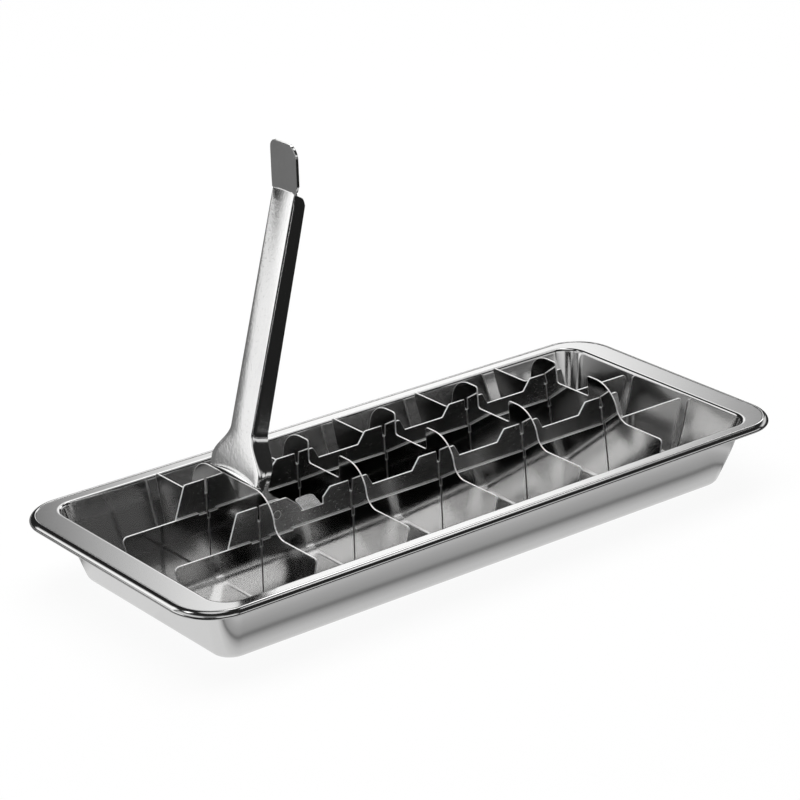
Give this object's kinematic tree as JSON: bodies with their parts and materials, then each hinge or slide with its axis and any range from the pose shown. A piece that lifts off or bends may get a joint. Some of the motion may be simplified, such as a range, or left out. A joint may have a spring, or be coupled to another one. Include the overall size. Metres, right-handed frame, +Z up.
{
  "type": "lever ice cube tray",
  "caption": "Pressed steel ice cube tray with a lift-out grid of long plates and rocking cross dividers, worked by slide bars and a folding lever.",
  "frame": {"origin": "centre of the tray's footprint, on the surface it stands on", "axes": "+X along the tray, away from the lever's end; +Y across it; +Z up"},
  "size_m": [0.2874, 0.1226, 0.168],
  "materials": {
    "pan_steel": "satin drawn stainless steel",
    "grid_steel": "bright polished stainless sheet",
    "lever_steel": "polished stainless sheet with faint brushing",
    "rivet_steel": "bright steel"
  },
  "bodies": {
    "tray": {"tray_pan": "pan_steel"},
    "grid": {"long_plate_near": "grid_steel", "long_plate_far": "grid_steel"},
    "bars": {"slide_bar_near": "grid_steel", "slide_bar_far": "grid_steel", "pivot_rivet_near": "rivet_steel", "pivot_rivet_far": "rivet_steel"},
    "lever": {"lever": "lever_steel"},
    "divider_1": {"cross_divider_1": "grid_steel"},
    "divider_2": {"cross_divider_2": "grid_steel"},
    "divider_3": {"cross_divider_3": "grid_steel"},
    "divider_4": {"cross_divider_4": "grid_steel"},
    "divider_5": {"cross_divider_5": "grid_steel"}
  },
  "joints": [
    {"name": "grid_lift", "type": "slide", "parent": "tray", "child": "grid", "axis": [0, 0, 1], "range_m": [0, 0.06]},
    {"name": "bar_slide", "type": "slide", "parent": "grid", "child": "bars", "axis": [1, 0, 0], "range_m": [0, 0.00136]},
    {"name": "lever_swing", "type": "hinge", "parent": "bars", "child": "lever", "pos_m": [-0.0775, 0, 0.0343], "axis": [0, 1, 0], "range_deg": [0, 74.7]},
    {"name": "divider_1_rock", "type": "hinge", "parent": "grid", "child": "divider_1", "pos_m": [-0.0853, 0, 0.0263], "axis": [0, 1, 0], "range_deg": [0, 7.61]},
    {"name": "divider_2_rock", "type": "hinge", "parent": "grid", "child": "divider_2", "pos_m": [-0.04275, 0, 0.0263], "axis": [0, 1, 0], "range_deg": [0, 7.61]},
    {"name": "divider_3_rock", "type": "hinge", "parent": "grid", "child": "divider_3", "pos_m": [-0.0002, 0, 0.0263], "axis": [0, 1, 0], "range_deg": [0, 7.61]},
    {"name": "divider_4_rock", "type": "hinge", "parent": "grid", "child": "divider_4", "pos_m": [0.04235, 0, 0.0263], "axis": [0, 1, 0], "range_deg": [0, 7.61]},
    {"name": "divider_5_rock", "type": "hinge", "parent": "grid", "child": "divider_5", "pos_m": [0.0849, 0, 0.0263], "axis": [0, 1, 0], "range_deg": [0, 7.61]}
  ],
  "couplings": [
    {"joint": "bar_slide", "follows": "lever_swing", "m_per_rad": 0.0010431},
    {"joint": "divider_1_rock", "follows": "lever_swing", "ratio": 0.10174},
    {"joint": "divider_2_rock", "follows": "lever_swing", "ratio": 0.10174},
    {"joint": "divider_3_rock", "follows": "lever_swing", "ratio": 0.10174},
    {"joint": "divider_4_rock", "follows": "lever_swing", "ratio": 0.10174},
    {"joint": "divider_5_rock", "follows": "lever_swing", "ratio": 0.10174}
  ]
}
